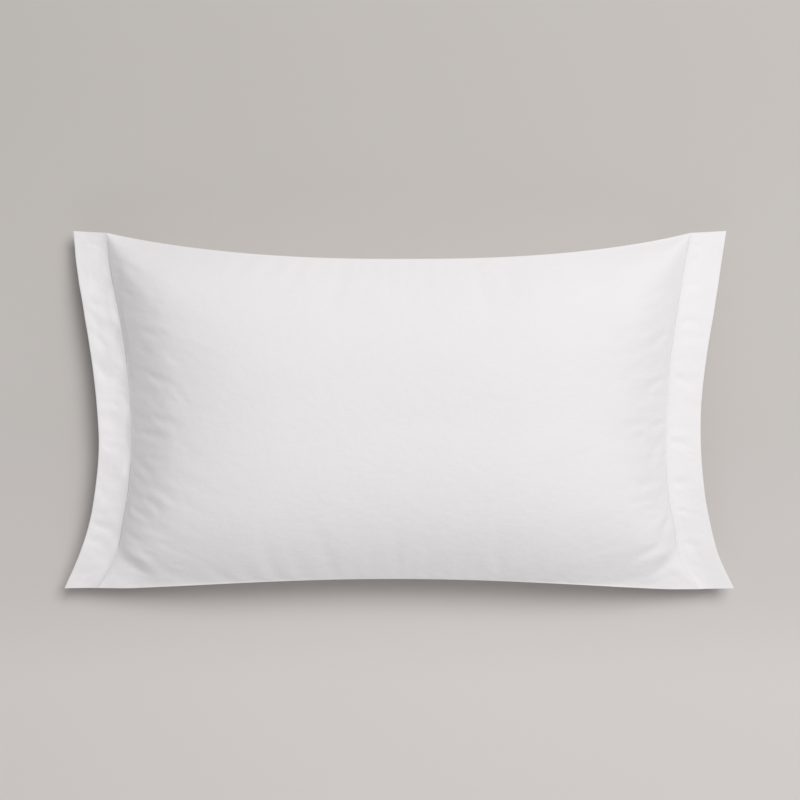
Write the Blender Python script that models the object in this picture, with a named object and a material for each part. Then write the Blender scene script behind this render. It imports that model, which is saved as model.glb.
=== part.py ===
"""King-size pillowcase with a deep flat border on each short side, drawn over a filled pillow.

It lies on its back. Metres, +Z up. The origin is on the resting surface, under the middle of the case.
+X runs along the case and +Y towards its head edge. Two parameters place every point of the case body:
s runs from -1 on the left seam to 1 on the right seam, and t from -1 on the foot edge to 1 on the head edge.
"""

import math
from collections import namedtuple

import bmesh
import bpy
from mathutils import Vector

MM = 0.001

# --- Cloth ---
BORDER_THICKNESS = 0.0020  # two layers of cotton with the turned hem between them
RIM_THICKNESS = 0.0020  # front and back panel where they meet
SEAM_GAP = 0.0004  # between the rim of the case body and a border

# --- Long edges, drawn in between the corners ---
HEAD_CORNER_Y = 0.2462
HEAD_DRAW_IN = 0.0391
HEAD_POWER_LEFT, HEAD_POWER_RIGHT = 2.4, 2.6
HEAD_HEM_Y = 0.2492  # the same edge at the outer end of a border
FOOT_CORNER_Y = -0.2480
FOOT_DRAW_IN = 0.0161
FOOT_REACH = 0.92  # share of the half length that the draw-in covers
FOOT_POWER = 1.3
FOOT_TILT = 0.0008  # the right corner is lower than the middle by this much
FOOT_HEM_Y = -0.2478

# --- Short sides: distances from the middle, in millimetres ---
Side = namedtuple("Side", ("t", "left_hem", "left_seam", "right_seam", "right_hem"))
SIDES = (
    Side(-1.00, -465.7, -417.6, 415.6, 465.1),
    Side(-0.82, -445.3, -393.1, 388.2, 443.9),
    Side(-0.65, -431.1, -383.8, 381.1, 432.1),
    Side(-0.45, -421.5, -375.2, 371.6, 422.8),
    Side(-0.20, -416.2, -370.3, 368.3, 417.7),
    Side(0.05, -419.5, -371.9, 370.3, 418.7),
    Side(0.30, -427.2, -377.9, 375.2, 425.9),
    Side(0.55, -437.3, -388.0, 384.7, 436.4),
    Side(0.80, -448.2, -400.9, 394.9, 446.8),
    Side(1.00, -453.9, -406.6, 405.1, 455.0),
)

# --- Heights ---
SEAM_CORNER_Z = 0.036
SIDE_RISE = 0.014  # a border seam is this much higher halfway along than at its corners
FOOT_RISE, HEAD_RISE = 0.034, 0.044  # the same for the long edges
RISE_POWER = 1.8
FRONT_CROWN = 0.080
BACK_CROWN = 0.090  # what the back panel would reach down, if nothing held it up
CROWN_LENGTH_POWER = 4.1
SHOULDER_SHARE, SHOULDER_REACH = 0.086, 0.18  # the part of the crown that a steady flank beside a seam adds
CROWN_WIDTH_POWER = 2.6
FOOT_CORNER_EASE = 0.9  # what the width power loses at the foot corners, where the case rises more gently
FOOT_EAR, HEAD_EAR = 0.14, 0.02  # how far in t the corners stay thin
HIP_SHARPNESS = 2.2  # how sharply the side and edge flanks meet on the way in from a corner
REST_SOFTNESS = 0.006  # height over which the back panel turns into its flat resting face
REST_SNAP = 0.00002

# --- Folds that run inwards from the seams: start, end, depth and half width, in millimetres ---
Fold = namedtuple("Fold", ("start_x", "start_y", "end_x", "end_y", "depth", "half_width"))
FOLDS = (
    Fold(-383, 200, -317, 155, 1.6, 8.0),
    Fold(-358, 110, -309, 95, 1.6, 7.5),
    Fold(-347, 48, -304, 34, 1.5, 7.5),
    Fold(-350, -14, -292, -32, 2.2, 8.5),
    Fold(-350, -110, -304, -128, 1.7, 8.0),
    Fold(-368, -160, -318, -176, 1.6, 8.0),
    Fold(371, 110, 336, 84, 1.4, 8.0),
    Fold(363, 44, 332, 26, 1.5, 8.0),
    Fold(367, -15, 337, -31, 1.5, 8.0),
    Fold(358, -45, 336, -92, 1.3, 8.0),
    Fold(374, -148, 355, -181, 1.3, 8.0),
)
FOLD_RIDGE = 0.35  # height of the cloth pushed up beside a fold, against its depth
FOLD_RIDGE_AT, FOLD_RIDGE_WIDTH = 1.9, 0.8  # in half widths
FOLD_OPENS_BY, FOLD_FADES_FROM = 0.25, 0.55  # shares of its length
FOLD_HELD_BELOW = 0.08  # share of the crown under which the seam keeps the cloth flat

# --- Both foot corners lie flat outside a tuck, in millimetres; the case swells up on its other side ---
Tuck = namedtuple("Tuck", ("side", "start_x", "start_y", "end_x", "end_y"))
TUCKS = (Tuck(-1, -394, -198, -347, -228), Tuck(1, 394, -195, 352, -227))
TUCK_FROM, TUCK_TO = -0.004, 0.016  # the swelling starts and ends at these distances from its line
TUCK_FLATTENS = 0.60  # share of the fullness that it takes from the corner
TUCK_FADES_FROM, TUCK_FADES_BY = 0.6, 1.3  # shares of its length

# --- Borders: they fall from the seam and level out, with dents across. Depths in mm, half widths in t ---
BORDER_DROP, BORDER_DROP_POWER = 0.0052, 4.0
Dent = namedtuple("Dent", ("side", "t", "depth", "half_width"))
DENTS = (
    Dent(-1, 0.92, 0.7, 0.045),
    Dent(-1, 0.58, 1.0, 0.050),
    Dent(-1, 0.37, 1.0, 0.055),
    Dent(-1, 0.19, 0.7, 0.050),
    Dent(-1, -0.20, 1.1, 0.055),
    Dent(-1, -0.48, 0.9, 0.060),
    Dent(-1, -0.67, 1.0, 0.055),
    Dent(1, 0.70, 0.9, 0.050),
    Dent(1, 0.50, 1.0, 0.055),
    Dent(1, 0.17, 1.1, 0.060),
    Dent(1, -0.18, 1.2, 0.055),
    Dent(1, -0.40, 1.0, 0.050),
    Dent(1, -0.75, 1.0, 0.055),
)
DENT_RIDGE = 0.45  # height of the cloth pushed up beside a dent, against its depth
DENT_RIDGE_AT, DENT_RIDGE_WIDTH = 1.7, 0.8  # in half widths
DENT_FULL_AT = 0.7  # share of the way from the seam to the hem

# --- Mesh ---
BODY_COLUMNS, ROWS = 46, 58
BORDER_COLUMNS = 6
COLUMN_CROWDING = 0.35  # columns stand closer near the seams
ROW_CROWDING = 0.15

# --- Finish ---
COTTON_WHITE = (0.86, 0.86, 0.85, 1.0)
COTTON_ROUGHNESS = 0.85
SMOOTH_BELOW = math.radians(40)


def smooth_step(low, high, value):
    share = min(1.0, max(0.0, (value - low) / (high - low)))
    return share * share * (3.0 - 2.0 * share)


def bell(distance):
    """1 at no distance, falling off smoothly to nearly nothing at 2."""
    return math.exp(-(distance**2))


def side_at(column, t):
    """Distance from the middle, in metres, of a hem or seam at t: a smooth curve through the table's rows."""
    rows = [(row.t, getattr(row, column) * MM) for row in SIDES]
    slopes = []
    for i in range(len(rows)):
        before, after = rows[max(i - 1, 0)], rows[min(i + 1, len(rows) - 1)]
        slopes.append((after[1] - before[1]) / (after[0] - before[0]))
    for i in range(len(rows) - 1):
        (t0, x0), (t1, x1) = rows[i], rows[i + 1]
        if t <= t1 or i == len(rows) - 2:
            span = t1 - t0
            u = (t - t0) / span
            start = x0 * (1.0 + 2.0 * u) + slopes[i] * span * u
            end = x1 * (3.0 - 2.0 * u) - slopes[i + 1] * span * (1.0 - u)
            return start * (1.0 - u) ** 2 + end * u**2


def seam_x(side, t):
    return side_at("left_seam" if side < 0 else "right_seam", t)


def hem_x(side, t):
    return side_at("left_hem" if side < 0 else "right_hem", t)


def head_y(s):
    power = HEAD_POWER_LEFT if s < 0.0 else HEAD_POWER_RIGHT
    return HEAD_CORNER_Y - HEAD_DRAW_IN * (1.0 - abs(s) ** power)


def foot_y(s):
    draw_in = max(0.0, 1.0 - (s / FOOT_REACH) ** 2) ** FOOT_POWER
    return FOOT_CORNER_Y + FOOT_DRAW_IN * draw_in - FOOT_TILT * s


def plan(s, t):
    across = (s + 1.0) / 2.0
    along = (t + 1.0) / 2.0
    x = seam_x(-1, t) * (1.0 - across) + seam_x(1, t) * across
    y = foot_y(s) * (1.0 - along) + head_y(s) * along
    return x, y


def blended(at_foot, at_head, t):
    return at_foot * (1.0 - t) / 2.0 + at_head * (1.0 + t) / 2.0


def seam_z(s, t):
    """Height of the sheet in which the two panels would meet."""
    rise = SIDE_RISE + (blended(FOOT_RISE, HEAD_RISE, t) - SIDE_RISE) * t**2
    return SEAM_CORNER_Z + rise * (1.0 - s**4 * t**2) ** RISE_POWER


def crown(s, t):
    """How full the case is, from 0 along its seams to 1 in its middle."""
    shoulder = smooth_step(0.0, SHOULDER_REACH, 1.0 - abs(s))
    lengthwise = (1.0 - SHOULDER_SHARE) * (1.0 - abs(s) ** CROWN_LENGTH_POWER) + SHOULDER_SHARE * shoulder
    widthwise = 1.0 - abs(t) ** (CROWN_WIDTH_POWER - blended(FOOT_CORNER_EASE, 0.0, t) * s**4)
    if lengthwise * widthwise <= 0.0:
        return 0.0
    widthwise *= (1.0 - abs(t)) / (1.0 - abs(t) + blended(FOOT_EAR, HEAD_EAR, t) * s**4)
    corner = lengthwise**HIP_SHARPNESS + widthwise**HIP_SHARPNESS - (lengthwise * widthwise) ** HIP_SHARPNESS
    return lengthwise * widthwise / corner ** (1.0 / HIP_SHARPNESS)


def fold_depth(x, y, fullness):
    """How far the folds press the cloth in at a point, less what they push up beside them."""
    total = 0.0
    for fold in FOLDS:
        start = Vector((fold.start_x, fold.start_y)) * MM
        run = Vector((fold.end_x, fold.end_y)) * MM - start
        away = Vector((x, y)) - start
        along = away.dot(run) / run.length_squared
        if 0.0 < along < 1.0:
            off = abs(away.cross(run)) / (run.length * fold.half_width * MM)
            profile = bell(off) - FOLD_RIDGE * bell((off - FOLD_RIDGE_AT) / FOLD_RIDGE_WIDTH)
            fade = smooth_step(0.0, FOLD_OPENS_BY, along) * (1.0 - smooth_step(FOLD_FADES_FROM, 1.0, along))
            total += fold.depth * MM * profile * fade
    return total * smooth_step(0.0, FOLD_HELD_BELOW, fullness)


def tucked(x, y):
    """The share of its fullness that the case keeps beside the tucks of its foot corners."""
    share = 1.0
    for tuck in TUCKS:
        start = Vector((tuck.start_x, tuck.start_y)) * MM
        run = Vector((tuck.end_x, tuck.end_y)) * MM - start
        away = Vector((x, y)) - start
        outside = 1.0 - smooth_step(TUCK_FROM, TUCK_TO, -tuck.side * run.cross(away) / run.length)
        fade = 1.0 - smooth_step(TUCK_FADES_FROM, TUCK_FADES_BY, away.dot(run) / run.length_squared)
        share *= 1.0 - TUCK_FLATTENS * outside * fade
    return share


def settled(raw):
    """A height as the surface below lets it be: flat at 0, and turning up softly."""
    if raw >= REST_SOFTNESS:
        return raw
    height = max(0.0, raw + REST_SOFTNESS) ** 2 / (4.0 * REST_SOFTNESS)
    return height if height > REST_SNAP else 0.0


def slab(columns, rows):
    """A closed slab from -1 to 1 along and across, with its lower face at 0 and its upper one at 1."""
    bm = bmesh.new()
    bmesh.ops.create_grid(bm, x_segments=columns, y_segments=rows, size=1.0)
    upper = bmesh.ops.extrude_face_region(bm, geom=list(bm.faces))
    moved = [item for item in upper["geom"] if isinstance(item, bmesh.types.BMVert)]
    bmesh.ops.translate(bm, verts=moved, vec=(0.0, 0.0, 1.0))
    return bm


def crowded(value, crowding):
    """The same -1 to 1 range, with its steps closer towards both ends."""
    return (1.0 + crowding) * value - crowding * value**3


def body_point(u, v, upper):
    s, t = crowded(u, COLUMN_CROWDING), crowded(v, ROW_CROWDING)
    x, y = plan(s, t)
    fullness = crown(s, t) * tucked(x, y)
    folds = fold_depth(x, y, fullness)
    middle = seam_z(s, t)
    if upper:
        return Vector((x, y, middle + RIM_THICKNESS / 2 + FRONT_CROWN * fullness - folds))
    return Vector((x, y, settled(middle - RIM_THICKNESS / 2 - BACK_CROWN * fullness + folds)))


def border_point(side, u, v, upper):
    """A point of a border: u runs from -1 at the seam to 1 at the hem, and v as on the body."""
    t = crowded(v, ROW_CROWDING)
    out = (u + 1.0) / 2.0
    inner, outer = seam_x(side, t) + side * SEAM_GAP, hem_x(side, t)
    inner_y = plan(side, t)[1]
    outer_y = FOOT_HEM_Y + (HEAD_HEM_Y - FOOT_HEM_Y) * (t + 1.0) / 2.0
    dents = 0.0
    for dent in DENTS:
        if dent.side == side:
            off = abs(t - dent.t) / dent.half_width
            profile = bell(off) - DENT_RIDGE * bell((off - DENT_RIDGE_AT) / DENT_RIDGE_WIDTH)
            dents += dent.depth * MM * profile
    drop = BORDER_DROP * (1.0 - (1.0 - out) ** BORDER_DROP_POWER)
    z = seam_z(side, t) - drop - dents * smooth_step(0.0, DENT_FULL_AT, out)
    z += BORDER_THICKNESS * (0.5 if upper else -0.5)
    return Vector((inner + (outer - inner) * out, inner_y + (outer_y - inner_y) * out, z))


def cotton(name):
    material = bpy.data.materials.new(name)
    material.use_nodes = True
    shader = material.node_tree.nodes["Principled BSDF"]
    shader.inputs["Base Color"].default_value = COTTON_WHITE
    shader.inputs["Roughness"].default_value = COTTON_ROUGHNESS
    shader.inputs["Metallic"].default_value = 0.0
    return material


def add_piece(name, bm, origin, parent):
    """Turns the shaped slab into an object, with its origin where it is given."""
    bmesh.ops.translate(bm, verts=bm.verts, vec=-origin)
    bmesh.ops.recalc_face_normals(bm, faces=bm.faces)
    mesh = bpy.data.meshes.new(name)
    bm.to_mesh(mesh)
    bm.free()
    mesh.shade_smooth()
    mesh.set_sharp_from_angle(angle=SMOOTH_BELOW)
    mesh.materials.append(cotton(f"{name}_cotton"))
    piece = bpy.data.objects.new(name, mesh)
    bpy.context.scene.collection.objects.link(piece)
    piece.parent = parent
    piece.location = origin
    return piece


def make_body(parent):
    bm = slab(BODY_COLUMNS, ROWS)
    for vert in bm.verts:
        vert.co = body_point(vert.co.x, vert.co.y, vert.co.z > 0.5)
    resting = [face for face in bm.faces if all(vert.co.z == 0.0 for vert in face.verts)]
    bmesh.ops.dissolve_faces(bm, faces=resting, use_verts=False)
    return add_piece("case_body", bm, Vector((0.0, 0.0, 0.0)), parent)


def make_border(name, side, parent):
    bm = slab(BORDER_COLUMNS, ROWS)
    for vert in bm.verts:
        vert.co = border_point(side, vert.co.x, vert.co.y, vert.co.z > 0.5)
    origin = Vector((seam_x(side, 0.0), 0.0, seam_z(side, 0.0)))
    return add_piece(name, bm, origin, parent)


for old in list(bpy.data.objects):
    bpy.data.objects.remove(old, do_unlink=True)

pillowcase = bpy.data.objects.new("pillowcase", None)
bpy.context.scene.collection.objects.link(pillowcase)
make_body(pillowcase)
make_border("border_left", -1, pillowcase)
make_border("border_right", 1, pillowcase)
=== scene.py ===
"""A white king-size pillowcase with a deep flat border on each short side, drawn over a filled pillow.

Metres. +X runs along the case, +Y towards its head edge, and +Z up through its face.
"""

import math
import random

import bpy
import numpy as np
from mathutils import Matrix, Vector


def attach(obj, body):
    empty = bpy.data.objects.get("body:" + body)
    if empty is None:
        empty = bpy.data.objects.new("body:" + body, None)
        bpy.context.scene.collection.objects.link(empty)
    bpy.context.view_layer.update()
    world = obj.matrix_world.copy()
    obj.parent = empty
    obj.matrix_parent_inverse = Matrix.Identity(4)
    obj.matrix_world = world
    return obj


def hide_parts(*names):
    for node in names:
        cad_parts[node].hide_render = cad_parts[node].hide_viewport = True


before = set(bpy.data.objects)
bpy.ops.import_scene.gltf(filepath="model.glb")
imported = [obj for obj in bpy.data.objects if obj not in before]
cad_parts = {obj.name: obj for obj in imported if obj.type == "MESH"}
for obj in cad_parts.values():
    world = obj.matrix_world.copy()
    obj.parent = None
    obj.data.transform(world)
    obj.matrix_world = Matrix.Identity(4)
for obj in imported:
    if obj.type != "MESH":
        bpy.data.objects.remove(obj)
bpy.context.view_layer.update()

# --- Studio: camera, floor and light -------------------------------------------------------------------
# The camera looks square onto the face from a little over three metres. The floor is warm grey, and painted
# light makes it lighter towards the foot end.
# A wide soft lamp stands towards the head end on the right. A weak one beyond the foot end and the room
# fill the rest.
CAMERA_HEIGHT = 3.123
FRAME_CENTRE = (0.0010, 0.0139)
LENS, SENSOR = 100.0, 36.0
FLOOR_SIZE, FLOOR_ROUGHNESS, FLOOR_SPECULAR = 40.0, 0.95, 0.2
# Painted light: the floor's colour grows lighter from the head end towards the foot end, over these y
PAINTED_LIGHT_FROM_Y, PAINTED_LIGHT_TO_Y = 0.55, -0.45
FLOOR_PAINTED_LIGHT_TONES = [
    (0.0, (0.560, 0.531, 0.508)),
    (0.55, (0.600, 0.570, 0.548)),
    (0.76, (0.635, 0.600, 0.584)),
    (0.95, (0.715, 0.675, 0.662)),
]
ROOM_LIGHT = 0.29

camera_data = bpy.data.cameras.new("camera")
camera_data.lens = LENS
camera_data.sensor_width = SENSOR
camera = bpy.data.objects.new("camera", camera_data)
camera.location = (*FRAME_CENTRE, CAMERA_HEIGHT)
bpy.context.scene.collection.objects.link(camera)
bpy.context.scene.camera = camera
bpy.context.scene.view_settings.view_transform = "Standard"

bpy.ops.object.select_all(action="DESELECT")
bpy.ops.mesh.primitive_plane_add(size=FLOOR_SIZE, location=(0.0, 0.0, 0.0))
floor = bpy.context.object
floor.name = "floor"
floor_paint = bpy.data.materials.new("floor_paint")
floor_paint.use_nodes = True
floor_shader = floor_paint.node_tree.nodes["Principled BSDF"]
floor_place = floor_paint.node_tree.nodes.new("ShaderNodeTexCoord")
floor_split = floor_paint.node_tree.nodes.new("ShaderNodeSeparateXYZ")
floor_across = floor_paint.node_tree.nodes.new("ShaderNodeMapRange")
floor_across.inputs["From Min"].default_value = PAINTED_LIGHT_FROM_Y
floor_across.inputs["From Max"].default_value = PAINTED_LIGHT_TO_Y
# This ramp paints the floor lighter towards the foot end: painted light
floor_painted_light = floor_paint.node_tree.nodes.new("ShaderNodeValToRGB")
floor_painted_light.color_ramp.interpolation = "EASE"
for position, tone in FLOOR_PAINTED_LIGHT_TONES[1:-1]:
    floor_painted_light.color_ramp.elements.new(position)
for stop, (position, tone) in zip(floor_painted_light.color_ramp.elements, FLOOR_PAINTED_LIGHT_TONES):
    stop.position, stop.color = position, (*tone, 1.0)
floor_links = floor_paint.node_tree.links
floor_links.new(floor_place.outputs["Object"], floor_split.inputs["Vector"])
floor_links.new(floor_split.outputs["Y"], floor_across.inputs["Value"])
floor_links.new(floor_across.outputs["Result"], floor_painted_light.inputs["Fac"])
floor_links.new(floor_painted_light.outputs["Color"], floor_shader.inputs["Base Color"])
floor_shader.inputs["Roughness"].default_value = FLOOR_ROUGHNESS
floor_shader.inputs["Specular IOR Level"].default_value = FLOOR_SPECULAR
floor.data.materials.append(floor_paint)


def add_lamp(name, location, width, power, colour):
    """A square soft box that faces the middle of the floor."""
    data = bpy.data.lights.new(name, "AREA")
    data.shape = "SQUARE"
    data.size = width
    data.energy = power
    data.color = colour
    lamp = bpy.data.objects.new(name, data)
    lamp.location = location
    lamp.rotation_euler = Vector(location).to_track_quat("Z", "Y").to_euler()
    bpy.context.scene.collection.objects.link(lamp)


add_lamp("key", location=(1.35, 1.75, 4.2), width=2.8, power=164.0, colour=(1.0, 0.995, 0.99))
add_lamp("fill", location=(-0.1, -3.5, 1.6), width=2.0, power=14.0, colour=(1.0, 0.99, 0.985))

room = bpy.data.worlds.new("room")
room.use_nodes = True
room.node_tree.nodes["Background"].inputs["Color"].default_value = (1.0, 1.0, 1.0, 1.0)
room.node_tree.nodes["Background"].inputs["Strength"].default_value = ROOM_LIGHT
bpy.context.scene.world = room

# --- Case body -------------------------------------------------------------------------------------------
# Front and back panel of plain woven cotton, sewn together along the head and foot edges and filled tight.
# The seams hold the rim flat, and the spare cloth beside them gathers in soft folds that run inwards.
MM = 0.001
RIM_THICKNESS = 0.0012

HEAD_CORNER_Y, HEAD_DRAW_IN, HEAD_HEM_Y = 0.2462, 0.0391, 0.2492
HEAD_POWER_LEFT, HEAD_POWER_RIGHT = 2.4, 2.6
FOOT_CORNER_Y, FOOT_DRAW_IN, FOOT_REACH, FOOT_POWER = -0.2480, 0.0161, 0.92, 1.3
FOOT_TILT, FOOT_HEM_Y = 0.0008, -0.2478

# t, left hem, left seam, right seam and right hem in millimetres from the middle
SIDES = np.array(
    [
        (-1.00, -465.7, -417.6, 415.6, 465.1),
        (-0.82, -445.3, -393.1, 388.2, 443.9),
        (-0.65, -431.1, -383.8, 381.1, 432.1),
        (-0.45, -421.5, -375.2, 371.6, 422.8),
        (-0.20, -416.2, -370.3, 368.3, 417.7),
        (0.05, -419.5, -371.9, 370.3, 418.7),
        (0.30, -427.2, -377.9, 375.2, 425.9),
        (0.55, -437.3, -388.0, 384.7, 436.4),
        (0.80, -448.2, -400.9, 394.9, 446.8),
        (1.00, -453.9, -406.6, 405.1, 455.0),
    ]
)
LEFT_HEM, LEFT_SEAM, RIGHT_SEAM, RIGHT_HEM = 1, 2, 3, 4

SEAM_CORNER_Z, SIDE_RISE, FOOT_RISE, HEAD_RISE, RISE_POWER = 0.036, 0.014, 0.034, 0.044, 1.8
FRONT_CROWN, BACK_CROWN = 0.080, 0.090
CROWN_LENGTH_POWER, SHOULDER_SHARE, SHOULDER_REACH = 4.1, 0.086, 0.18
CROWN_WIDTH_POWER, FOOT_CORNER_EASE, FOOT_EAR, HEAD_EAR = 2.6, 0.9, 0.14, 0.02
HIP_SHARPNESS = 2.2
EAR_GUARD, HIP_GUARD, MOVE_GUARD = 1e-9, 1e-12, 1e-9  # they keep divisions from zero
REST_SOFTNESS = 0.006

# Folds from the seams: start, end, depth and half width, in millimetres
FOLDS = [
    (-383, 200, -317, 155, 1.08, 7.5),
    (-387, 170, -345, 135, 0.54, 5.2),
    (-358, 110, -309, 95, 0.99, 6.3),
    (-365, 87, -326, 67, 0.59, 5.8),
    (-347, 48, -304, 34, 0.9, 5.8),
    (-347, 19, -319, 3, 0.54, 5.8),
    (-342, -8, -290, -25, 1.26, 5.8),
    (-358, -27, -315, -42, 0.99, 5.8),
    (-347, -63, -312, -75, 0.59, 5.8),
    (-352, -77, -332, -99, 0.45, 5.8),
    (-341, -103, -299, -121, 0.81, 5.8),
    (-352, -118, -317, -138, 0.9, 5.2),
    (-374, -132, -335, -151, 0.81, 4.6),
    (-358, -158, -312, -169, 0.81, 5.2),
    (-380, -169, -345, -186, 0.6, 4.6),
    (-356, -196, -331, -204, 0.54, 4.0),
    (-389, -193, -345, -225, 0.2, 6.0),
    (-398, -206, -396, -233, 0.68, 4.0),
    (371, 110, 336, 84, 1.09, 5.8),
    (363, 44, 332, 26, 1.22, 5.8),
    (367, -15, 337, -31, 1.22, 5.8),
    (351, -15, 286, -25, 0.49, 4.6),
    (337, -33, 317, -41, 0.61, 5.8),
    (358, -41, 336, -92, 0.92, 5.8),
    (363, -96, 319, -107, 0.8, 5.2),
    (351, -122, 306, -127, 0.61, 4.6),
    (358, -134, 330, -141, 0.61, 4.6),
    (374, -144, 355, -181, 0.92, 5.8),
    (363, -188, 319, -203, 0.92, 5.2),
    (384, -192, 349, -222, 0.54, 6.8),
]

# Small folds between them start along both flanks, drawn from a seeded generator. In millimetres too
SMALL_FOLD_COUNTS = ((-1, 44), (1, 36))
SMALL_FOLDS_FROM_Y, SMALL_FOLDS_SPAN = -215.0, 400.0
SMALL_FOLD_X, SMALL_FOLD_RUN, SMALL_FOLD_FALL = (305.0, 372.0), (14.0, 34.0), (0.10, 0.75)
SMALL_FOLD_DEPTH, SMALL_FOLD_WIDTH = (0.10, 0.40), (3.0, 5.5)
folds_rng = random.Random(7)
for fold_side, fold_count in SMALL_FOLD_COUNTS:
    for step in range(fold_count):
        fold_y = SMALL_FOLDS_FROM_Y + SMALL_FOLDS_SPAN * (step + folds_rng.uniform(0.0, 1.0)) / fold_count
        fold_x = fold_side * folds_rng.uniform(*SMALL_FOLD_X)
        run_x = -fold_side * folds_rng.uniform(*SMALL_FOLD_RUN)
        run_y = -abs(run_x) * folds_rng.uniform(*SMALL_FOLD_FALL)
        fold_depth, fold_width = folds_rng.uniform(*SMALL_FOLD_DEPTH), folds_rng.uniform(*SMALL_FOLD_WIDTH)
        FOLDS.append((fold_x, fold_y, fold_x + run_x, fold_y + run_y, fold_depth, fold_width))
FOLD_RIDGE, FOLD_RIDGE_AT, FOLD_RIDGE_WIDTH = 0.35, 1.9, 0.8
FOLD_WIDTH_AT_START, FOLD_WIDENS_BY = 0.7, 0.6
FOLD_DEEP_FROM, FOLD_DEEP_TO = 0.25, 0.55  # shares of its length
FOLD_HELD_BELOW = 0.08

# Streaks: seed, then the length, width and height of one, all but the seed in metres
ROUGH_CELLS = 97
STREAKS = [(31, 0.058, 0.0150, 0.00066), (41, 0.038, 0.0080, 0.00032), (51, 0.024, 0.0050, 0.00010)]
STREAK_SLOPE, STREAK_BEND, STREAK_BEND_CELL, STREAK_BEND_SEED = 0.38, 0.010, 0.060, 21
STREAK_FULL_AT, STREAK_FADES_BY, STREAKS_ON_RIGHT = 0.06, 0.31, 0.8

# Both foot corners lie flat outside a tuck, and the case swells up on its other side
TUCKS = [(-1, -394, -198, -347, -228), (1, 394, -195, 352, -227)]
TUCK_FROM, TUCK_TO, TUCK_FLATTENS = -0.004, 0.016, 0.60
TUCK_FADES_FROM, TUCK_FADES_BY = 0.6, 1.3


def smooth_step(low, high, value):
    """0 at low, 1 at high, and level at both."""
    share = np.clip((value - low) / (high - low), 0.0, 1.0)
    return share * share * (3.0 - 2.0 * share)


def bell(distance):
    """1 at no distance, and close to 0 from 2 on."""
    return np.exp(-(distance**2))


def side_at(column, t):
    """Where a hem or seam runs at t, in metres: a smooth curve through the rows of SIDES."""
    rows_t, rows_x = SIDES[:, 0], SIDES[:, column] * MM
    before = np.maximum(np.arange(len(rows_t)) - 1, 0)
    after = np.minimum(np.arange(len(rows_t)) + 1, len(rows_t) - 1)
    slopes = (rows_x[after] - rows_x[before]) / (rows_t[after] - rows_t[before])
    i = np.clip(np.searchsorted(rows_t, t) - 1, 0, len(rows_t) - 2)
    span = rows_t[i + 1] - rows_t[i]
    u = (t - rows_t[i]) / span
    start = rows_x[i] * (1.0 + 2.0 * u) + slopes[i] * span * u
    end = rows_x[i + 1] * (3.0 - 2.0 * u) - slopes[i + 1] * span * (1.0 - u)
    return start * (1.0 - u) ** 2 + end * u**2


def plan(s, t):
    """x and y of a point: s runs from -1 to 1 between the seams, t from -1 at the foot to 1 at the head."""
    across, along = (s + 1.0) / 2.0, (t + 1.0) / 2.0
    head_power = np.where(s < 0.0, HEAD_POWER_LEFT, HEAD_POWER_RIGHT)
    head = HEAD_CORNER_Y - HEAD_DRAW_IN * (1.0 - np.abs(s) ** head_power)
    foot = FOOT_CORNER_Y - FOOT_TILT * s
    foot = foot + FOOT_DRAW_IN * np.maximum(0.0, 1.0 - (s / FOOT_REACH) ** 2) ** FOOT_POWER
    x = side_at(LEFT_SEAM, t) * (1.0 - across) + side_at(RIGHT_SEAM, t) * across
    return x, foot * (1.0 - along) + head * along


def blended(at_foot, at_head, t):
    """A value that changes evenly from the foot to the head."""
    return at_foot * (1.0 - t) / 2.0 + at_head * (1.0 + t) / 2.0


def seam_z(s, t):
    """Height of the surface that both panels swell from, which on the rim is that of the seams."""
    rise = SIDE_RISE + (blended(FOOT_RISE, HEAD_RISE, t) - SIDE_RISE) * t**2
    return SEAM_CORNER_Z + rise * (1.0 - s**4 * t**2) ** RISE_POWER


def crown(s, t):
    """The share of the full crown at a point: 1 in the middle and 0 on the rim."""
    shoulder = smooth_step(0.0, SHOULDER_REACH, 1.0 - np.abs(s))
    lengthwise = (1.0 - SHOULDER_SHARE) * (1.0 - np.abs(s) ** CROWN_LENGTH_POWER) + SHOULDER_SHARE * shoulder
    power = CROWN_WIDTH_POWER - blended(FOOT_CORNER_EASE, 0.0, t) * s**4
    widthwise = np.maximum(0.0, 1.0 - np.abs(t) ** power)
    ear = blended(FOOT_EAR, HEAD_EAR, t) * s**4
    widthwise *= (1.0 - np.abs(t)) / (1.0 - np.abs(t) + ear + EAR_GUARD)
    lengthwise = np.maximum(0.0, lengthwise)
    both = lengthwise * widthwise
    corner = lengthwise**HIP_SHARPNESS + widthwise**HIP_SHARPNESS - both**HIP_SHARPNESS
    return both / np.maximum(corner, HIP_GUARD) ** (1.0 / HIP_SHARPNESS)


def pressed_in(x, y, folds):
    """How far folds press the cloth in, less what they push up beside them."""
    total = np.zeros_like(x)
    for start_x, start_y, end_x, end_y, depth, half_width in folds:
        run_x, run_y = (end_x - start_x) * MM, (end_y - start_y) * MM
        length = math.hypot(run_x, run_y)
        away_x, away_y = x - start_x * MM, y - start_y * MM
        along = (away_x * run_x + away_y * run_y) / length**2
        widening = FOLD_WIDTH_AT_START + FOLD_WIDENS_BY * np.clip(along, 0.0, 1.0)
        off = np.abs(away_x * run_y - away_y * run_x) / (length * half_width * MM * widening)
        profile = bell(off) - FOLD_RIDGE * bell((off - FOLD_RIDGE_AT) / FOLD_RIDGE_WIDTH)
        fade = smooth_step(0.0, FOLD_DEEP_FROM, along) * (1.0 - smooth_step(FOLD_DEEP_TO, 1.0, along))
        total += depth * MM * profile * fade
    return total


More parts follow.
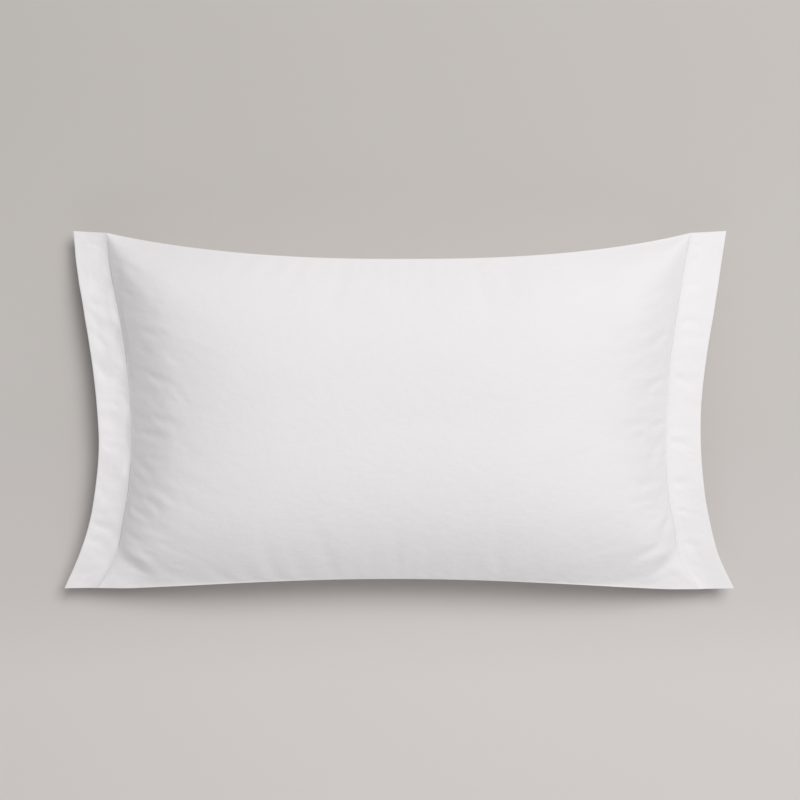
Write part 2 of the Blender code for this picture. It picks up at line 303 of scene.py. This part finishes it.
def rough(along, across, seed):
    """Smooth random heights between -1 and 1, one to each unit cell."""
    corners = np.random.default_rng(seed).uniform(-1.0, 1.0, (ROUGH_CELLS, ROUGH_CELLS))
    i, j = np.floor(along).astype(int), np.floor(across).astype(int)
    u, v = smooth_step(0.0, 1.0, along - i), smooth_step(0.0, 1.0, across - j)
    i, j, next_i, next_j = (k % ROUGH_CELLS for k in (i, j, i + 1, j + 1))
    near = corners[i, j] * (1.0 - u) + corners[next_i, j] * u
    far = corners[i, next_j] * (1.0 - u) + corners[next_i, next_j] * u
    return near * (1.0 - v) + far * v


def streaks(x, y, s):
    """Soft streaks that run in and down from both seams, and fade towards the middle."""
    inward = -np.sign(s) * x
    along, across = inward - STREAK_SLOPE * y, y + STREAK_SLOPE * inward
    bend = STREAK_BEND * rough(inward / STREAK_BEND_CELL, y / STREAK_BEND_CELL, STREAK_BEND_SEED)
    total = np.zeros_like(x)
    for seed, length, width, height in STREAKS:
        on_left = rough(along / length, (across + bend) / width, seed)
        on_right = rough(along / length, (across + bend) / width, seed + 1)
        total += height * np.where(s < 0.0, on_left, STREAKS_ON_RIGHT * on_right)
    reach = 1.0 - np.abs(s)
    return total * smooth_step(0.0, STREAK_FULL_AT, reach) * np.exp(-((reach / STREAK_FADES_BY) ** 2))


def tucked(x, y):
    """The share of its fullness that the case keeps beside the tucks of its foot corners."""
    share = np.ones_like(x)
    for side, start_x, start_y, end_x, end_y in TUCKS:
        run_x, run_y = (end_x - start_x) * MM, (end_y - start_y) * MM
        away_x, away_y = x - start_x * MM, y - start_y * MM
        inside = -side * (run_x * away_y - run_y * away_x) / math.hypot(run_x, run_y)
        along = (away_x * run_x + away_y * run_y) / (run_x**2 + run_y**2)
        fade = 1.0 - smooth_step(TUCK_FADES_FROM, TUCK_FADES_BY, along)
        share *= 1.0 - TUCK_FLATTENS * (1.0 - smooth_step(TUCK_FROM, TUCK_TO, inside)) * fade
    return share


def settled(raw):
    """A height as the surface below lets it be: flat at 0, and turning up softly."""
    soft = np.maximum(0.0, raw + REST_SOFTNESS) ** 2 / (4.0 * REST_SOFTNESS)
    return np.where(raw >= REST_SOFTNESS, raw, soft)


def crowded(value, crowding):
    """The same -1 to 1 range, with its steps closer towards both ends."""
    return (1.0 + crowding) * value - crowding * value**3


def slab(name, columns, rows):
    """A closed slab of two grids from -1 to 1, the upper one at z = 1, with its points in a fixed order."""
    across, along = np.meshgrid(np.linspace(-1.0, 1.0, columns + 1), np.linspace(-1.0, 1.0, rows + 1))
    layers = [np.stack([across.ravel(), along.ravel(), np.full(across.size, z)], axis=1) for z in (0.0, 1.0)]
    lower = np.arange(across.size).reshape(rows + 1, columns + 1)
    corners = (lower[:-1, :-1], lower[1:, :-1], lower[1:, 1:], lower[:-1, 1:])
    under = np.stack([corner.ravel() for corner in corners], axis=1)
    ring = np.concatenate([lower[0, :-1], lower[:-1, -1], lower[-1, :0:-1], lower[:0:-1, 0]])
    following = np.roll(ring, -1)
    rim = np.stack([ring, following, following + across.size, ring + across.size], axis=1)
    faces = np.concatenate([under, under[:, ::-1] + across.size, rim])
    mesh = bpy.data.meshes.new(name)
    mesh.from_pydata(np.concatenate(layers).tolist(), [], faces.tolist())
    piece = bpy.data.objects.new(name, mesh)
    bpy.context.scene.collection.objects.link(piece)
    return piece


def points_of(piece):
    """Its points, one a row."""
    found = np.empty(len(piece.data.vertices) * 3)
    piece.data.vertices.foreach_get("co", found)
    return found.reshape(-1, 3)


def place(piece, points):
    """Moves its points there."""
    piece.data.vertices.foreach_set("co", np.ascontiguousarray(points, dtype=np.float64).ravel())
    piece.data.update()


def lay_cloth(piece, x, y):
    """Stores each point's place on the flat cloth, in metres, which the weave follows."""
    flat = piece.data.attributes.new("cloth", "FLOAT_VECTOR", "POINT")
    flat.data.foreach_set("vector", np.stack([x, y, np.zeros_like(x)], axis=1).astype(np.float32).ravel())


BODY_COLUMNS, BODY_ROWS = 250, 184
COLUMN_CROWDING, ROW_CROWDING = 0.35, 0.15
FLAT_HALF_LENGTH, FLAT_HALF_WIDTH = 0.406, 0.254
SHARP_ABOVE = math.radians(50)


def case_points(start):
    """The sewn and filled shape of the case, for the points of a slab."""
    s, t = crowded(start[:, 0], COLUMN_CROWDING), crowded(start[:, 1], ROW_CROWDING)
    x, y = plan(s, t)
    full = crown(s, t) * tucked(x, y)
    folds = pressed_in(x, y, FOLDS) * smooth_step(0.0, FOLD_HELD_BELOW, full) + streaks(x, y, s)
    middle = seam_z(s, t)
    front = middle + RIM_THICKNESS / 2 + FRONT_CROWN * full - folds
    back = settled(middle - RIM_THICKNESS / 2 - BACK_CROWN * full + folds)
    return np.stack([x, y, np.where(start[:, 2] > 0.5, front, back)], axis=1)


# The panels are cut a little fuller than the filling. A cloth simulation lets them grow by that much under
# the filling's pressure, with the seams and the resting face held, so that the spare cloth buckles beside
# the seams.
SIM_COLUMNS, SIM_ROWS, SIM_FRAMES, SIM_STEPS = 124, 92, 20, 6
SIM_PRESSURE, SIM_GROWTH, SIM_CAP = 4.0, 0.012, 0.003
SIM_MASS, SIM_STRETCH, SIM_SHEAR, SIM_BEND = 0.2, 20.0, 8.0, 0.08
SIM_ON_RIM, SIM_RESTS_BELOW = 0.999, REST_SOFTNESS / 4
SIM_SHARE_AT_FOOT, SIM_SHARE_AT_HEAD = 0.50, 0.34
SIM_CORNERS, SIM_CORNER_FADE = (0.45, 0.75), 0.85  # the corners are held flatter by the crossing seams
# Shares of the half length and width: the buckles fade inwards over one, and run out at the rim in the other
SIM_REACH, SIM_HELD_WITHIN = 0.30, 0.02


def buckled():
    """How far the simulation moves its own points: an array for the back and one for the front."""
    sewn = slab("sewn", SIM_COLUMNS, SIM_ROWS)
    start = points_of(sewn)
    points = case_points(start)
    place(sewn, points)
    on_rim = np.max(np.abs(start[:, :2]), axis=1) > SIM_ON_RIM
    held = sewn.vertex_groups.new(name="held")
    held.add(np.flatnonzero(on_rim | (points[:, 2] < SIM_RESTS_BELOW)).tolist(), 1.0, "REPLACE")
    cloth = sewn.modifiers.new("cloth", "CLOTH")
    cloth.collision_settings.use_collision = False
    fabric = cloth.settings
    fabric.quality = SIM_STEPS
    fabric.mass = SIM_MASS
    fabric.tension_stiffness = fabric.compression_stiffness = SIM_STRETCH
    fabric.shear_stiffness = SIM_SHEAR
    fabric.bending_stiffness = SIM_BEND
    fabric.vertex_group_mass = "held"
    fabric.use_pressure = True
    fabric.uniform_pressure_force = SIM_PRESSURE
    fabric.shrink_min = -SIM_GROWTH
    fabric.effector_weights.gravity = 0.0
    for frame_number in range(1, SIM_FRAMES + 1):
        bpy.context.scene.frame_set(frame_number)
    simulated = sewn.evaluated_get(bpy.context.evaluated_depsgraph_get()).data
    moved = np.empty(len(simulated.vertices) * 3)
    simulated.vertices.foreach_get("co", moved)
    moved = moved.reshape(-1, 3) - points
    length = np.linalg.norm(moved, axis=1, keepdims=True)
    moved *= np.minimum(1.0, SIM_CAP / np.maximum(length, MOVE_GUARD))
    fields = np.zeros((2, SIM_COLUMNS + 1, SIM_ROWS + 1, 3))
    column = np.rint((start[:, 0] + 1.0) / 2.0 * SIM_COLUMNS).astype(int)
    row = np.rint((start[:, 1] + 1.0) / 2.0 * SIM_ROWS).astype(int)
    fields[(start[:, 2] > 0.5).astype(int), column, row] = moved
    bpy.data.objects.remove(sewn)
    bpy.context.scene.frame_set(1)
    return fields


def spline_shares(u):
    """What four neighbouring points count for at a share u of the way between the middle two."""
    second, third = (3 * u**3 - 6 * u**2 + 4) / 6, (1 + 3 * u + 3 * u**2 - 3 * u**3) / 6
    return (1 - u) ** 3 / 6, second, third, u**3 / 6


def spread(fields, start):
    """The simulated moves on a finer slab, through a cubic spline."""
    place_u, place_v = (start[:, 0] + 1.0) / 2.0 * SIM_COLUMNS, (start[:, 1] + 1.0) / 2.0 * SIM_ROWS
    i, j = np.minimum(place_u.astype(int), SIM_COLUMNS - 1), np.minimum(place_v.astype(int), SIM_ROWS - 1)
    face = (start[:, 2] > 0.5).astype(int)
    total = np.zeros((len(start), 3))
    for a, share_u in enumerate(spline_shares(place_u - i)):
        for b, share_v in enumerate(spline_shares(place_v - j)):
            column, row = np.clip(i + a - 1, 0, SIM_COLUMNS), np.clip(j + b - 1, 0, SIM_ROWS)
            total += (share_u * share_v)[:, None] * fields[face, column, row]
    return total


case = slab("case", BODY_COLUMNS, BODY_ROWS)
case_start = points_of(case)
case_shape = case_points(case_start)
case_s, case_t = crowded(case_start[:, 0], COLUMN_CROWDING), crowded(case_start[:, 1], ROW_CROWDING)
case_from_seam = np.minimum(1.0 - np.abs(case_s), 1.0 - np.abs(case_t))
case_moves = spread(buckled(), case_start)
case_share = blended(SIM_SHARE_AT_FOOT, SIM_SHARE_AT_HEAD, case_t)
case_corner = smooth_step(*SIM_CORNERS, np.abs(case_s)) * smooth_step(*SIM_CORNERS, np.abs(case_t))
case_share *= (1.0 - SIM_CORNER_FADE * case_corner) * smooth_step(0.0, SIM_HELD_WITHIN, case_from_seam)
case_shape += case_moves * (case_share * bell(case_from_seam / SIM_REACH))[:, None]
place(case, case_shape)
lay_cloth(case, case_s * FLAT_HALF_LENGTH, case_t * FLAT_HALF_WIDTH)
case.data.shade_smooth()
case.data.set_sharp_from_angle(angle=SHARP_ABOVE)


class Value:
    """A number that changes over a surface. Sums and products of it add their Math nodes."""

    def __init__(self, cloth, socket):
        self.cloth, self.socket = cloth, socket

    def math(self, operation, first, second=0.0):
        return self.cloth.node("ShaderNodeMath", {"operation": operation}, {0: first, 1: second})

    def __add__(self, other):
        return self.math("ADD", self, other)

    def __sub__(self, other):
        return self.math("SUBTRACT", self, other)

    def __rsub__(self, other):
        return self.math("SUBTRACT", other, self)

    def __mul__(self, other):
        return self.math("MULTIPLY", self, other)

    def sine(self):
        return self.math("SINE", self)

    __radd__ = __add__
    __rmul__ = __mul__


class Cloth:
    """A cloth material: its Principled BSDF, and one method for every other node."""

    def __init__(self, name):
        self.material = bpy.data.materials.new(name)
        self.material.use_nodes = True
        self.tree = self.material.node_tree
        self.shader = self.tree.nodes["Principled BSDF"]

    def node(self, kind, settings, inputs, output=0):
        made = self.tree.nodes.new(kind)
        for key, value in settings.items():
            setattr(made, key, value)
        for key, value in inputs.items():
            if isinstance(value, Value):
                self.tree.links.new(value.socket, made.inputs[key])
            else:
                made.inputs[key].default_value = value
        return Value(self, made.outputs[output])

    def feed(self, name, value):
        self.tree.links.new(value.socket, self.shader.inputs[name])


COTTON_SPECULAR, COTTON_SHEEN, COTTON_SHEEN_ROUGHNESS = 0.25, 0.18, 0.5
COTTON_ROUGHNESS, SLUB_ROUGHNESS = 0.80, 0.10
THREAD_SPACING = 0.00050
SLUBS, CROSSING_SLUBS = (900.0, 60.0, 1.0), (60.0, 900.0, 1.0)  # noise cells to the metre
CRUMPLE, MOTTLE = (70.0, 90.0, 1.0), (14.0, 18.0, 1.0)
SLUB_TONE, MOTTLE_TONE, DEEP_TONE = 0.35, 0.8, 0.955
WEAVE_HEIGHT, SLUB_HEIGHT, CRUMPLE_HEIGHT = 0.00001, 0.00004, 0.0006
CASE_WHITE = (0.885, 0.868, 0.8815)


def cotton(name, white):
    """Plain woven cotton: crossing threads, slubs along both, and the faint crumple of washed cloth."""
    made = Cloth(name)
    made.shader.inputs["Metallic"].default_value = 0.0
    made.shader.inputs["Specular IOR Level"].default_value = COTTON_SPECULAR
    made.shader.inputs["Sheen Weight"].default_value = COTTON_SHEEN
    made.shader.inputs["Sheen Roughness"].default_value = COTTON_SHEEN_ROUGHNESS

    flat = made.node("ShaderNodeAttribute", {"attribute_name": "cloth"}, {}, output="Vector")
    warp = made.node("ShaderNodeSeparateXYZ", {}, {"Vector": flat}, output="X")
    weft = made.node("ShaderNodeSeparateXYZ", {}, {"Vector": flat}, output="Y")
    turns = 2.0 * math.pi / THREAD_SPACING
    weave = (warp * turns).sine() * (weft * turns).sine()

    def threads(scale, detail=2.0):
        stretched = made.node("ShaderNodeMapping", {}, {"Vector": flat, "Scale": scale})
        return made.node("ShaderNodeTexNoise", {}, {"Vector": stretched, "Scale": 1.0, "Detail": detail})

    slubs = threads(SLUBS) + threads(CROSSING_SLUBS)
    crumple = threads(CRUMPLE, detail=3.0)
    mottle = threads(MOTTLE, detail=4.0)

    tone = 0.5 + (slubs - 1.0) * SLUB_TONE + (mottle - 0.5) * MOTTLE_TONE
    pale, deep = (*white, 1.0), (*(DEEP_TONE * c for c in white), 1.0)
    colour = made.node(
        "ShaderNodeMix", {"data_type": "RGBA"}, {"Factor": tone, "A": deep, "B": pale}, output="Result"
    )
    made.feed("Base Color", colour)
    made.feed("Roughness", COTTON_ROUGHNESS + (slubs - 1.0) * SLUB_ROUGHNESS)

    height = weave * WEAVE_HEIGHT + slubs * SLUB_HEIGHT + crumple * CRUMPLE_HEIGHT
    bump = made.node("ShaderNodeBump", {}, {"Strength": 1.0, "Distance": 1.0, "Height": height})
    made.feed("Normal", bump)
    return made.material


case_cotton = cotton("case_cotton", CASE_WHITE)
case.data.materials.append(case_cotton)
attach(case, "root")
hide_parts("case_body")

# --- Borders ---------------------------------------------------------------------------------------------
# Each border is the same cotton doubled, with its hem a plain fold and its inner edge sewn flat to the case.
# It stands out from the seam by its own stiffness, droops a little at the hem, and is dented across.
BORDER_THICKNESS = 0.0014
SEAM_GAPS = {-1: 0.00025, 1: 0.00005}
BORDER_DROP, BORDER_DROP_POWER = 0.0052, 4.0
CORNER_LIFT, CORNER_LIFT_FROM = 0.003, 0.5  # towards the foot corners, from this share of the half width
HEM_ROUNDS_FROM, HEM_THINS_BY = 0.955, 0.93  # from this share of the way out
SEAM_LIFTS, SEAM_LIFT_WIDTH = {-1: 0.0006, 1: 0.0001}, 0.0030
WAVES = [(61, 0.021, 0.030, 0.0016), (71, 0.009, 0.016, 0.0004)]  # seed, cell along and across, height
WAVES_ON_RIGHT = 0.45
BORDER_COLUMNS, BORDER_ROWS = 40, 220
BORDER_CROWDING = 0.4
CREASE_FULL_AT = 0.25

# Creases across the borders: side, start, end, depth and half width, in millimetres
CREASES = [
    (-1, -433, 150, -396, 139, 0.9, 5.5),
    (-1, -429, 133, -410, 114, 0.5, 5.0),
    (-1, -423, 105, -401, 80, 0.9, 5.5),
    (-1, -418, 53, -397, 44, 0.8, 7.0),
    (-1, -416, 10, -379, 7, 0.5, 4.0),
    (-1, -412, -51, -373, -54, 1.0, 5.0),
    (-1, -419, -105, -397, -135, 0.6, 7.0),
    (-1, -429, -155, -389, -171, 0.7, 6.0),
    (-1, -437, -180, -397, -187, 0.6, 5.0),
    (-1, -435, 232, -408, 226, 0.7, 4.0),
    (-1, -443, -232, -401, -211, 0.5, 4.0),
    (-1, -429, -240, -398, -222, 0.4, 3.0),
    (1, 391, 173, 424, 172, 0.75, 5.0),
    (1, 382, 122, 421, 122, 0.9, 6.0),
    (1, 380, 44, 416, 37, 1.05, 6.5),
    (1, 371, -43, 410, -50, 1.2, 6.0),
    (1, 377, -101, 406, -103, 0.9, 6.0),
    (1, 394, -179, 418, -196, 0.9, 6.0),
    (1, 382, -139, 405, -141, 0.6, 4.0),
    (1, 402, 232, 425, 225, 0.75, 4.0),
    (1, 403, 208, 420, 209, 0.6, 3.0),
    (1, 420, -240, 394, -218, 0.6, 3.5),
    (1, 406, -243, 388, -223, 0.6, 3.0),
]

# Small creases between them, in millimetres too
SMALL_CREASES, SMALL_CREASES_FROM_Y, SMALL_CREASES_SPAN = 30, -235.0, 470.0
SMALL_CREASE_X, SMALL_CREASE_RUN, SMALL_CREASE_FALL = (378.0, 425.0), (8.0, 24.0), (-3.0, 12.0)
SMALL_CREASE_DEPTH, SMALL_CREASE_WIDTH = (0.05, 0.22), (2.5, 6.0)
creases_rng = random.Random(11)
for crease_side in (-1, 1):
    for step in range(SMALL_CREASES):
        steps_up = step + creases_rng.uniform(0.0, 1.0)
        crease_y = SMALL_CREASES_FROM_Y + SMALL_CREASES_SPAN * steps_up / SMALL_CREASES
        crease_x = crease_side * creases_rng.uniform(*SMALL_CREASE_X)
        run_x, run_y = creases_rng.uniform(*SMALL_CREASE_RUN), -creases_rng.uniform(*SMALL_CREASE_FALL)
        CREASES.append(
            (crease_side, crease_x - run_x / 2, crease_y, crease_x + run_x / 2, crease_y + run_y)
            + (creases_rng.uniform(*SMALL_CREASE_DEPTH), creases_rng.uniform(*SMALL_CREASE_WIDTH))
        )

BORDER_WHITE = (0.895, 0.878, 0.8915)
BORDER_FLAT_WIDTH = 0.0508
border_cotton = cotton("border_cotton", BORDER_WHITE)
SEAM_OF, HEM_OF = {-1: LEFT_SEAM, 1: RIGHT_SEAM}, {-1: LEFT_HEM, 1: RIGHT_HEM}


def border_heights(side, x, y, t, out):
    """Height of the middle of a border, at a share out of the way from its seam to its hem."""
    creases = [crease[1:] for crease in CREASES if crease[0] == side]
    drop = BORDER_DROP * (1.0 - (1.0 - out) ** BORDER_DROP_POWER)
    waves = sum(height * rough(y / along, x / across, seed + side) for seed, along, across, height in WAVES)
    if side > 0:
        waves = waves * WAVES_ON_RIGHT
    corner = CORNER_LIFT * smooth_step(CORNER_LIFT_FROM, 1.0, -t) * out
    lift = SEAM_LIFTS[side] * np.exp(-np.abs(x - side_at(SEAM_OF[side], t)) / SEAM_LIFT_WIDTH)
    shaped = (waves - pressed_in(x, y, creases)) * smooth_step(0.0, CREASE_FULL_AT, out)
    return seam_z(float(side), t) + lift + corner - drop + shaped


def border_points(side, t, share):
    """Middle of a border's cloth, at a share of the way from its seam to its hem."""
    inner, outer = side_at(SEAM_OF[side], t) + side * SEAM_GAPS[side], side_at(HEM_OF[side], t)
    inner_y = plan(np.full_like(t, float(side)), t)[1]
    outer_y = FOOT_HEM_Y + (HEAD_HEM_Y - FOOT_HEM_Y) * (t + 1.0) / 2.0
    x, y = inner + (outer - inner) * share, inner_y + (outer_y - inner_y) * share
    return np.stack([x, y, border_heights(side, x, y, t, share)], axis=1)


def make_border(name, node, side):
    """A border with its hem rounded, stretched between its seam and its hem."""
    piece = slab(name, BORDER_COLUMNS, BORDER_ROWS)
    start = points_of(piece)
    t = crowded(start[:, 1], ROW_CROWDING)
    share = (1.0 + crowded(side * start[:, 0], BORDER_CROWDING)) / 2.0
    half = np.where(start[:, 2] > 0.5, 0.5, -0.5) * BORDER_THICKNESS
    rounded = np.sqrt(np.clip(1.0 - smooth_step(HEM_ROUNDS_FROM, 1.0, share) ** 2 * HEM_THINS_BY, 0.0, 1.0))
    points = border_points(side, t, share)
    points[:, 2] += half * rounded
    place(piece, points)
    lay_cloth(piece, FLAT_HALF_LENGTH + share * BORDER_FLAT_WIDTH, t * FLAT_HALF_WIDTH)
    piece.data.shade_smooth()
    piece.data.set_sharp_from_angle(angle=SHARP_ABOVE)
    piece.data.materials.append(border_cotton)
    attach(piece, "root")
    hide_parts(node)


# --- Stitches --------------------------------------------------------------------------------------------
# Each border is sewn on with one row of lockstitches in white cotton thread, seen on the front and on the
# back. The thread lies beside the seam, and pulls itself a little into the cloth. Its colour is painted
# greyer than the white cloth: painted shade that darkens the line along the seam.
STITCH_LENGTH, STITCH_PITCH, STITCH_WIDTH, STITCH_HEIGHT = 0.0025, 0.0031, 0.00046, 0.00036
STITCH_FROM_SEAM = 0.0022
STITCH_SUNK = 0.00006
STITCH_SLANT = math.radians(5)
STITCH_SEGMENTS, STITCH_RINGS = 8, 6
STITCH_ROW_ENDS, STITCH_PATH_POINTS = 0.985, 1200  # the first in t
THREAD_SHEEN, THREAD_ROUGHNESS, STRAND_ROUGHNESS = 0.2, 0.55, 0.2
# Both thread tones are painted shade, greyer than the cloth; the strands vary between them
THREAD_DEEP_WITH_PAINTED_SHADE, THREAD_PALE_WITH_PAINTED_SHADE = (0.76, 0.745, 0.75, 1.0), (0.86, 0.845, 0.855, 1.0)
STRAND_CELLS, STRAND_HEIGHT = 4200.0, 0.00006

thread_cotton = Cloth("thread_cotton")
thread_cotton.shader.inputs["Metallic"].default_value = 0.0
thread_cotton.shader.inputs["Sheen Weight"].default_value = THREAD_SHEEN
thread_place = thread_cotton.node("ShaderNodeTexCoord", {}, {}, output="Object")
thread_strands = thread_cotton.node(
    "ShaderNodeTexNoise", {}, {"Vector": thread_place, "Scale": STRAND_CELLS, "Detail": 2.0}
)
# The strands mix the two thread tones, both darkened with painted shade
thread_tone_and_painted_shade = thread_cotton.node(
    "ShaderNodeMix",
    {"data_type": "RGBA"},
    {"Factor": thread_strands, "A": THREAD_DEEP_WITH_PAINTED_SHADE, "B": THREAD_PALE_WITH_PAINTED_SHADE},
    output="Result",
)
thread_cotton.feed("Base Color", thread_tone_and_painted_shade)
thread_cotton.feed("Roughness", THREAD_ROUGHNESS + thread_strands * STRAND_ROUGHNESS)
thread_bump = thread_cotton.node(
    "ShaderNodeBump", {}, {"Strength": 1.0, "Distance": 1.0, "Height": thread_strands * STRAND_HEIGHT}
)
thread_cotton.feed("Normal", thread_bump)

bpy.ops.object.select_all(action="DESELECT")
bpy.ops.mesh.primitive_uv_sphere_add(segments=STITCH_SEGMENTS, ring_count=STITCH_RINGS, radius=0.5)
stitch = bpy.context.object
bpy.ops.object.mode_set(mode="EDIT")
bpy.ops.transform.rotate(value=math.radians(90), orient_axis="X", center_override=(0.0, 0.0, 0.0))
bpy.ops.transform.resize(value=(STITCH_WIDTH, STITCH_LENGTH, STITCH_HEIGHT))
bpy.ops.object.mode_set(mode="OBJECT")
stitch.data.shade_smooth()
stitch.data.materials.append(thread_cotton.material)


def stitch_row(name, side, face):
    """Copies of the stitch along a border's seam; face is 1 on the front and -1 on the back."""
    t = np.linspace(-STITCH_ROW_ENDS, STITCH_ROW_ENDS, STITCH_PATH_POINTS)
    width = np.abs(side_at(HEM_OF[side], t) - side_at(SEAM_OF[side], t))
    path = border_points(side, t, STITCH_FROM_SEAM / width)
    path[:, 2] += face * (BORDER_THICKNESS / 2 + STITCH_HEIGHT / 2 - STITCH_SUNK)
    run = np.concatenate([[0.0], np.cumsum(np.linalg.norm(np.diff(path, axis=0), axis=1))])
    stops = np.arange(0.0, run[-1], STITCH_PITCH)
    holes = np.stack([np.interp(stops, run, path[:, axis]) for axis in range(3)], axis=1)
    bpy.ops.object.select_all(action="DESELECT")
    for hole, following in zip(holes, holes[1:]):
        ahead = Vector(following - hole).normalized()
        aside = ahead.cross(Vector((0.0, 0.0, 1.0))).normalized()
        turned = Matrix((aside, ahead, aside.cross(ahead))).transposed().to_4x4()
        copy = stitch.copy()
        copy.data = stitch.data.copy()
        copy.data.transform(Matrix.Rotation(STITCH_SLANT, 4, "Z"))
        copy.data.transform(Matrix.Translation(Vector((hole + following) / 2)) @ turned)
        bpy.context.scene.collection.objects.link(copy)
        copy.select_set(True)
    bpy.context.view_layer.objects.active = copy
    bpy.ops.object.join()
    row = bpy.context.object
    row.name = name
    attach(row, "root")
    return row


left_stitches = [stitch_row("left_stitches_front", -1, 1), stitch_row("left_stitches_back", -1, -1)]
right_stitches = [stitch_row("right_stitches_front", 1, 1), stitch_row("right_stitches_back", 1, -1)]
bpy.data.objects.remove(stitch)
make_border("left_border", "border_left", -1)
make_border("right_border", "border_right", 1)
